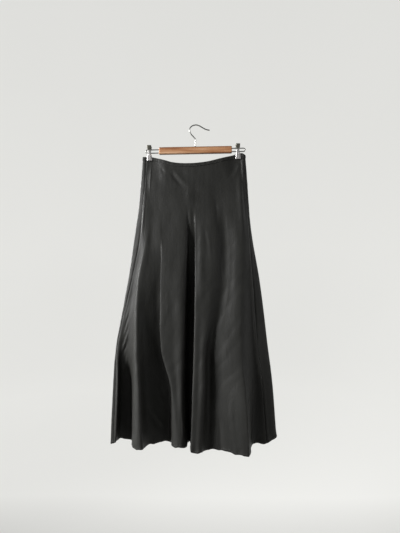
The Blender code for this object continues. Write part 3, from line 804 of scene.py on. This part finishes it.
def add_hem_stitches(side, points, thread):
    """The row that holds the turned hem, HEM_STITCH_AT above its edge."""
    down = distance_down(points)
    depth = down[-1] - HEM_STITCH_AT
    line = band_rows(points, down, depth[None, :])[0]
    normal = band_rows(form_normals(points), down, depth[None, :])[0]
    return add_stitches(f"{side}_hem_stitches", line, normal, HEM_STITCH_PITCH, HEM_CLOTH / 2,
                        thread)


def add_stitches(name, line, normals, pitch, over, thread):
    """A row of stitches along a line of points, as one mesh of small plump threads."""
    steps = np.linalg.norm(np.diff(line, axis=0), axis=-1)
    length = np.concatenate(((0.0,), np.cumsum(steps)))
    bm = bmesh.new()
    for start in np.arange(pitch, length[-1] - pitch, pitch):
        ends = [Vector([np.interp(at, length, line[:, axis]) for axis in range(3)])
                for at in (start, start + pitch - STITCH_GAP)]
        normal = Vector([np.interp(start, length, normals[:, axis]) for axis in range(3)])
        tangent = ends[1] - ends[0]
        half = tangent.length / 2
        tangent.normalize()
        side = normal.cross(tangent).normalized()
        up = tangent.cross(side)
        centre = (ends[0] + ends[1]) / 2 + up * (over + 0.15 * THREAD)
        place = Matrix((side * THREAD, up * THREAD * 0.8, tangent * half)).transposed().to_4x4()
        place.translation = centre
        bmesh.ops.create_uvsphere(bm, u_segments=6, v_segments=4, radius=1.0, matrix=place)
    bmesh.ops.recalc_face_normals(bm, faces=bm.faces)
    return add_piece(name, mesh_from(bm, name, 180), thread)


# --------------------------------------------------------------- wire and clips
def wire_mesh(name, points, radius, step):
    """A round wire along a line of points, its ends rounded off."""
    points = np.asarray([tuple(point) for point in points], float)
    lengths = np.concatenate(((0.0,), np.cumsum(np.linalg.norm(np.diff(points, axis=0), axis=-1))))
    total = lengths[-1]
    tip = radius * (1 - np.cos(np.radians((0, 22, 45, 67, 90))))
    at = np.concatenate((tip, np.linspace(radius, total - radius, round(total / step))[1:-1],
                         total - tip[::-1]))
    curve = bpy.data.curves.new(name, "CURVE")
    curve.dimensions = "3D"
    curve.bevel_depth = radius
    curve.bevel_resolution = 3
    curve.use_fill_caps = True
    line = curve.splines.new("POLY")
    line.points.add(len(at) - 1)
    for spot, distance in zip(line.points, at):
        from_tip = min(1.0, min(distance, total - distance) / radius)
        spot.co = (*(np.interp(distance, lengths, points[:, axis]) for axis in range(3)), 1.0)
        spot.radius = max(0.25, math.sqrt(1 - (1 - from_tip) ** 2))
    stand_in = bpy.data.objects.new(name, curve)
    bpy.context.scene.collection.objects.link(stand_in)
    bpy.context.view_layer.update()
    evaluated = stand_in.evaluated_get(bpy.context.evaluated_depsgraph_get())
    mesh = bpy.data.meshes.new_from_object(evaluated)
    bpy.data.objects.remove(stand_in)
    bpy.data.curves.remove(curve)
    mesh.name = name
    mesh.shade_smooth()
    mesh.set_sharp_from_angle(angle=math.radians(60))
    return mesh


def add_hook(material):
    up = HANGER.to_3x3() @ Vector((0, 0, 1))
    foot = HANGER_CENTRE + up * (BAR_HEIGHT / 2 - HOOK_INSET)
    mouth = HANGER_CENTRE + up * (BAR_HEIGHT / 2 + 4 * MM)
    places = np.arange(len(HOOK_X))
    fine = np.linspace(0, places[-1], 97)
    bend = [Vector((x, 0, z)) * MM for x, z in zip(through(places, HOOK_X, fine),
                                                   through(places, HOOK_Z, fine))]
    mesh = wire_mesh("hook", [foot, mouth] + bend, HOOK_RADIUS, 1.6 * MM)
    return add_piece("hook", mesh, material, ("hanger_hook",))


def add_loop(side, material):
    """The wire that the clip slides on: out of the bar's end, round and back in."""
    sign = -1 if side == "left" else 1
    turn = LOOP_SPACING / 2
    inner = BAR_LENGTH / 2 - LOOP_INSET
    outer = BAR_LENGTH / 2 + LOOP_REACH - turn - LOOP_RADIUS
    points = [(sign * inner, 0, LOOP_CENTRE - turn)]
    for angle in np.radians(np.linspace(-90, 90, 25)):
        points.append((sign * (outer + turn * math.cos(angle)), 0, LOOP_CENTRE + turn * math.sin(angle)))
    points.append((sign * inner, 0, LOOP_CENTRE + turn))
    points = [HANGER @ Vector(point) for point in points]
    mesh = wire_mesh(f"{side}_wire_loop", points, LOOP_RADIUS, 1.8 * MM)
    return add_piece(f"{side}_wire_loop", mesh, material, (f"loop_{side}",))


def add_plate(side, face, material):
    """Half of a clip, pressed from sheet: ribs on the handle, a groove down the jaw."""
    sign = -1 if face == "front" else 1
    centre = CLIP_AT[side] - HANGER_CENTRE.x
    ups = np.linspace(PLATE_UP[-1], PLATE_UP[0], PLATE_ROWS + 1)[:, None]
    across = np.linspace(-1, 1, PLATE_COLUMNS + 1)[None, :]
    out, half, crown = (through(PLATE_UP, row, ups) for row in (PLATE_OUT, PLATE_HALF, PLATE_CROWN))
    bulge = crown * (1 - across ** 2) - 0.5 * smoothstep((np.abs(across) - 0.82) / 0.18)
    handle = smoothstep((ups - 3) / 3) * smoothstep((16.5 - ups) / 2)
    jaw = smoothstep((ups + 27) / 3) * smoothstep((-6 - ups) / 4)
    ribs = np.exp(-((np.abs(across) - 0.46) / 0.17) ** 2)
    grips = sum(np.exp(-((ups - up) / 0.7) ** 2) for up in GRIP_UP) * smoothstep(
        (0.34 - np.abs(across)) / 0.1)
    bulge = bulge + handle * (0.45 * ribs + 0.35 * grips) - 0.5 * jaw * np.exp(-(across / 0.2) ** 2)
    bulge = bulge + 0.3 * jaw * np.exp(-((np.abs(across) - 0.55) / 0.16) ** 2)
    teeth = np.abs((across * 3.5) % 1 - 0.5) * 1.6 * smoothstep((-27.5 - ups) / 2)
    points = np.stack(np.broadcast_arrays(centre / MM - sign * across * half, sign * (out + bulge),
                                          ups + teeth), axis=-1) * MM
    turned = np.array(HANGER.to_3x3())
    points = points @ turned.T + np.array(HANGER_CENTRE)
    uvs = np.stack(np.broadcast_arrays(across * half * MM, ups * MM), axis=-1)
    name = f"{side}_clip_{face}"
    plate = add_piece(name, sheet_mesh(name, points, uvs, 50), material,
                      (f"clip_{side}_{face}",))
    thicken(plate, PLATE_WALL)
    return plate


def add_coil(side, material):
    """The clip's spring: a coil between the plates and a leg down behind each."""
    centre = CLIP_AT[side] - HANGER_CENTRE.x
    half = COIL_LENGTH / 2
    points = [(centre - half, -COIL_RADIUS, LOOP_CENTRE - COIL_LEG)]
    for share in np.linspace(0, 1, 16 * COIL_TURNS + 9):
        angle = 2 * math.pi * (COIL_TURNS + 0.5) * share
        points.append((centre - half + COIL_LENGTH * share, -COIL_RADIUS * math.cos(angle),
                       LOOP_CENTRE + COIL_RADIUS * math.sin(angle)))
    points.append((centre + half, COIL_RADIUS, LOOP_CENTRE - COIL_LEG))
    points = [HANGER @ Vector(point) for point in points]
    mesh = wire_mesh(f"{side}_clip_coil", points, COIL_WIRE, 0.8 * MM)
    return add_piece(f"{side}_clip_coil", mesh, material, (f"clip_{side}_spring",))


# ------------------------------------------------------------ room and camera
def add_studio():
    """A round pale room, a soft key from the left and gentler lights around."""
    profile = [Vector((0, 0, ROOM_FLOOR))]
    for angle in np.linspace(0, math.pi / 2, 13):
        profile.append(Vector((ROOM_RADIUS - ROOM_BEND + ROOM_BEND * math.sin(angle), 0,
                               ROOM_FLOOR + ROOM_BEND - ROOM_BEND * math.cos(angle))))
    profile.append(Vector((ROOM_RADIUS, 0, ROOM_TOP)))
    bm = bmesh.new()
    verts = [bm.verts.new(point) for point in profile]
    edges = [bm.edges.new(pair) for pair in zip(verts, verts[1:])]
    bmesh.ops.spin(bm, geom=verts + edges, cent=(0, 0, 0), axis=(0, 0, 1),
                   angle=2 * math.pi, steps=72, use_merge=True)
    bmesh.ops.remove_doubles(bm, verts=bm.verts, dist=1e-5)
    bmesh.ops.recalc_face_normals(bm, faces=bm.faces)
    room = bpy.data.objects.new("studio_room", mesh_from(bm, "studio_room", 180))
    room.data.materials.append(studio_look())
    bpy.context.scene.collection.objects.link(room)

    world = bpy.data.worlds.new("studio")
    world.use_nodes = True
    sky = world.node_tree.nodes["Background"]
    sky.inputs["Color"].default_value = (0.96, 0.98, 1.0, 1.0)
    sky.inputs["Strength"].default_value = 0.12
    bpy.context.scene.world = world
    add_softbox("key_left", (-2.6, -1.25, 0.3), 1.2, 15, spread=50)
    add_softbox("fill_right", (2.7, -0.7, 0.0), 1.6, 1.8, spread=60)
    add_softbox("rear_left", (-2.4, 1.3, 0.4), 1.2, 16, spread=50)
    add_softbox("rear_right", (2.2, 1.8, 0.4), 2.0, 6)


def add_softbox(name, place, size, power, aim=(0.0, 0.0, -0.55), spread=180):
    lamp = bpy.data.lights.new(name, "AREA")
    lamp.size = size
    lamp.energy = power
    lamp.spread = math.radians(spread)
    box = bpy.data.objects.new(name, lamp)
    box.location = place
    toward = Vector(aim) - Vector(place)
    box.rotation_euler = toward.to_track_quat("-Z", "Y").to_euler()
    box.visible_camera = False
    bpy.context.scene.collection.objects.link(box)


def add_camera():
    eye = bpy.data.cameras.new("camera")
    eye.sensor_fit = "VERTICAL"
    eye.sensor_height = SENSOR_HEIGHT
    eye.lens = SENSOR_HEIGHT * CAMERA_DISTANCE / (IMAGE_HEIGHT * PIXEL)
    camera = bpy.data.objects.new("camera", eye)
    camera.location = ((IMAGE_WIDTH / 2 - CROWN_PIXEL[0]) * PIXEL, -CAMERA_DISTANCE,
                       (CROWN_PIXEL[1] - IMAGE_HEIGHT / 2) * PIXEL)
    camera.rotation_euler = (math.pi / 2, 0, 0)
    bpy.context.scene.collection.objects.link(camera)
    bpy.context.scene.camera = camera
    bpy.context.scene.view_settings.view_transform = "Standard"


def main():
    satin = satin_look("charcoal_satin", (0.017, 0.017, 0.0152), (0.031, 0.031, 0.0287), 0.55)
    thread = thread_look()
    wood, wire, steel = wood_look(), wire_look(), clip_look()
    for side, form in PANELS.items():
        points = dressed_form(*form)
        panel = add_panel(side, points, satin)
        hem_stitches = add_hem_stitches(side, points, thread)
        binding, waist_stitches = add_binding(side, points, satin, thread)
    add_hook(wire)
    for side in CLIP_AT:
        add_loop(side, wire)
        add_coil(side, wire)
        for face in ("front", "back"):
            add_plate(side, face, steel)
    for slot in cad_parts["hanger_bar"].material_slots:
        slot.material = wood
    add_studio()
    add_camera()


main()
